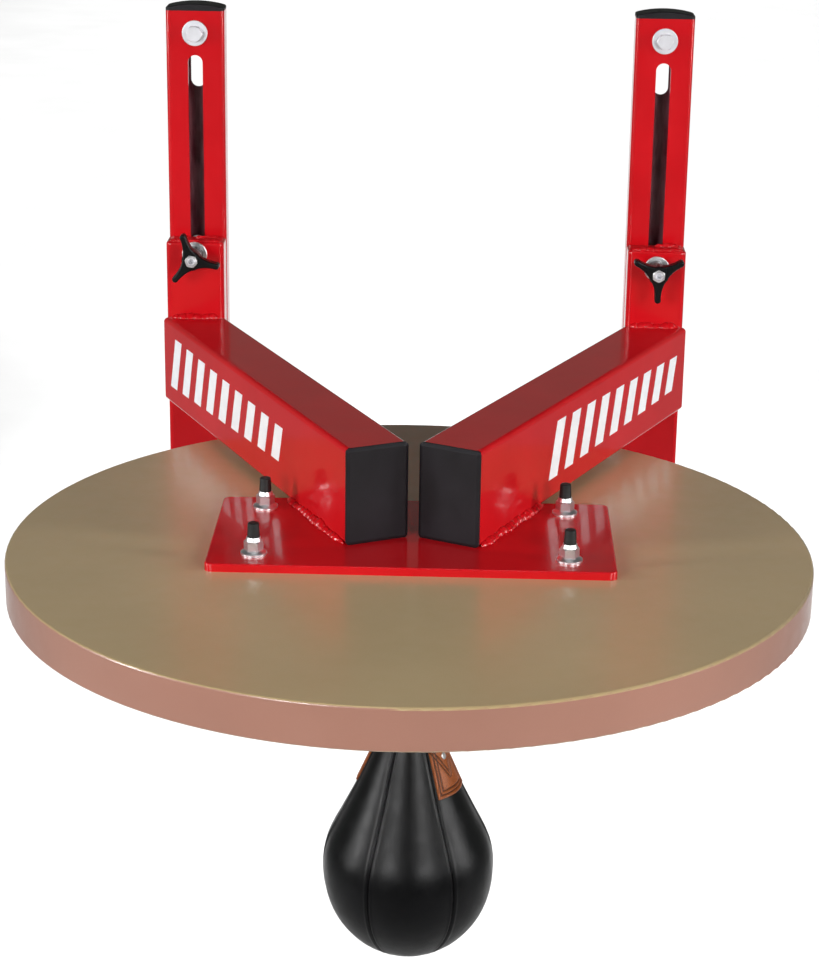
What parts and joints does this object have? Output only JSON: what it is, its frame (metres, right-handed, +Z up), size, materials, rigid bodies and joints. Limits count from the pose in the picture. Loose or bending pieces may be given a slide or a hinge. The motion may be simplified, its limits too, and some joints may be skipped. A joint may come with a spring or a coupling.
{
  "type": "speed bag platform",
  "caption": "Wall-mounted, height-adjustable speed bag platform: round drum board on V-shaped tube arms, sliding on slotted uprights, with swivel and bag.",
  "frame": {"origin": "centre of the four lag screws, on the wall plane at the uprights' back faces", "axes": "+Z up, +Y into the wall, +X to the right for someone facing the platform"},
  "size_m": [0.6095, 0.7496, 0.7003],
  "materials": {
    "red_powder_coat": "gloss powder coat",
    "black_cap_plastic": "satin moulded",
    "knob_plastic": "moulded gloss",
    "soft_black_plastic": "soft moulded",
    "zinc_hardware": "bright zinc",
    "bright_hardware": "polished",
    "swivel_steel": "machined, oiled",
    "brass_cage": "pressed",
    "drum_board": "sealed fibreboard",
    "black_leather": "satin leather",
    "tan_leather": "waxed tan leather",
    "bladder_rubber": "latex"
  },
  "bodies": {
    "wall_uprights": {"left_upright": "red_powder_coat", "left_upright_cap": "black_cap_plastic", "left_upright_foot": "black_cap_plastic", "right_upright": "red_powder_coat", "right_upright_cap": "black_cap_plastic", "right_upright_foot": "black_cap_plastic", "lag_screws": "zinc_hardware", "lag_washers": "zinc_hardware"},
    "platform": {"left_carriage": "red_powder_coat", "left_carriage_ends": "red_powder_coat", "left_arm": "red_powder_coat", "left_arm_cap": "black_cap_plastic", "left_weld_beads": "red_powder_coat", "left_clamp_bolt": "zinc_hardware", "right_carriage": "red_powder_coat", "right_carriage_ends": "red_powder_coat", "right_arm": "red_powder_coat", "right_arm_cap": "black_cap_plastic", "right_weld_beads": "red_powder_coat", "right_clamp_bolt": "zinc_hardware", "base_plate": "red_powder_coat", "drum": "drum_board", "drum_bolts": "zinc_hardware", "flange_nuts": "bright_hardware", "thread_caps": "soft_black_plastic", "swivel_flange": "swivel_steel", "swivel_screws": "zinc_hardware", "swivel_balls": "bright_hardware", "swivel_ball_cage": "brass_cage"},
    "left_washer": {"left_clamp_washer": "bright_hardware"},
    "left_knob": {"left_knob": "knob_plastic", "left_knob_insert": "bright_hardware"},
    "right_washer": {"right_clamp_washer": "bright_hardware"},
    "right_knob": {"right_knob": "knob_plastic", "right_knob_insert": "bright_hardware"},
    "kingpin": {"swivel_kingpin": "swivel_steel", "swivel_cross_pin": "zinc_hardware", "swivel_pin_clip": "zinc_hardware"},
    "hook": {"bag_hook": "swivel_steel"},
    "bag": {"bag_cover": "black_leather", "bag_bladder": "bladder_rubber", "bag_patches": "tan_leather", "bag_rivets": "bright_hardware", "bag_collar": "tan_leather", "bag_loop": "tan_leather"}
  },
  "joints": [
    {"name": "height_slide", "type": "slide", "parent": "wall_uprights", "child": "platform", "axis": [0, 0, 1], "range_m": [-0.1, 0.15]},
    {"name": "left_washer_travel", "type": "slide", "parent": "platform", "child": "left_washer", "axis": [0, -1, 0], "range_m": [0, 0.00282]},
    {"name": "left_knob_turn", "type": "hinge", "parent": "left_washer", "child": "left_knob", "pos_m": [-0.2032, -0.05315, 0.09605], "axis": [0, -1, 0], "range_deg": [0, 720]},
    {"name": "right_washer_travel", "type": "slide", "parent": "platform", "child": "right_washer", "axis": [0, -1, 0], "range_m": [0, 0.00282]},
    {"name": "right_knob_turn", "type": "hinge", "parent": "right_washer", "child": "right_knob", "pos_m": [0.2032, -0.05315, 0.09105], "axis": [0, -1, 0], "range_deg": [0, 720]},
    {"name": "kingpin_spin", "type": "hinge", "parent": "platform", "child": "kingpin", "pos_m": [0, -0.3956, -0.11045], "axis": [0, 0, 1], "continuous": true},
    {"name": "hook_swing", "type": "hinge", "parent": "kingpin", "child": "hook", "pos_m": [0, -0.3956, -0.11045], "axis": [1, 0, 0], "range_deg": [-78, 78]},
    {"name": "bag_swing", "type": "hinge", "parent": "hook", "child": "bag", "pos_m": [0, -0.3956, -0.14845], "axis": [0, 1, 0], "range_deg": [-35, 35]}
  ],
  "couplings": [
    {"joint": "left_knob_turn", "follows": "left_washer_travel", "rad_per_m": 4452.7},
    {"joint": "right_knob_turn", "follows": "right_washer_travel", "rad_per_m": 4452.7}
  ]
}
